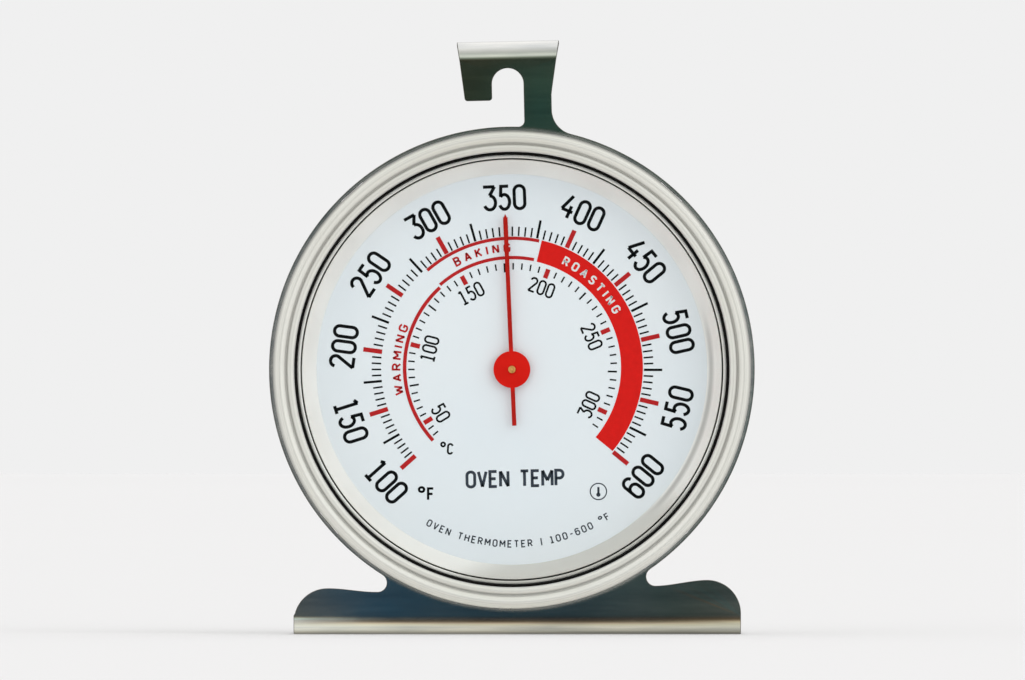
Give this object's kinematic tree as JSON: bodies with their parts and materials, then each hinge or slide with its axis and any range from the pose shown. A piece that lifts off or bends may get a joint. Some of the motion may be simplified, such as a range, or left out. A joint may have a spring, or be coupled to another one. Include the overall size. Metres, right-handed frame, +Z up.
{
  "type": "dial oven thermometer",
  "caption": "Round bimetal dial thermometer in a stamped steel plate that folds back into a foot and ends at the top in a hook for an oven rack wire.",
  "frame": {"origin": "on the surface the foot stands on, in the middle of the part's box; the dial axis is above it at 50.35 mm", "axes": "+Z up, the dial faces -Y, +X is to the right of someone reading the dial"},
  "size_m": [0.0923, 0.0447, 0.113],
  "materials": {
    "polished_steel": "mirror-bright stamped stainless steel",
    "satin_steel": "satin drawn steel",
    "bezel_steel": "satin spun stainless steel, lightly brushed round the ring",
    "black_rubber": "matt",
    "clear_glass": "clear and polished",
    "anodised_aluminium": "warm satin, faintly turned",
    "white_enamel": "bluish white print on aluminium, satin",
    "brass": "turned",
    "bimetal": "rolled strip",
    "red_paint": "bright red, satin"
  },
  "bodies": {
    "housing": {"stand_frame": "polished_steel", "case_pan": "satin_steel", "bezel_ring": "bezel_steel", "lens_gasket": "black_rubber", "glass_lens": "clear_glass", "spacer_ring": "anodised_aluminium", "dial_plate": "white_enamel", "movement_bridge": "satin_steel", "bridge_rivet_left": "satin_steel", "bridge_rivet_right": "satin_steel", "front_bush": "brass", "rear_bush": "brass", "bimetal_coil": "bimetal", "coil_post": "satin_steel"},
    "pointer_assembly": {"pointer": "red_paint", "pointer_bush": "brass", "staff_clip": "satin_steel", "pointer_staff": "brass", "coil_collet": "brass", "thrust_washer": "brass"}
  },
  "joints": [
    {"name": "pointer_turn", "type": "hinge", "parent": "housing", "child": "pointer_assembly", "pos_m": [0, -0.01605, 0.05035], "axis": [0, 1, 0], "range_deg": [-143, 132], "stiffness_Nm_per_rad": 0.0054, "deforming": ["bimetal_coil"]}
  ]
}
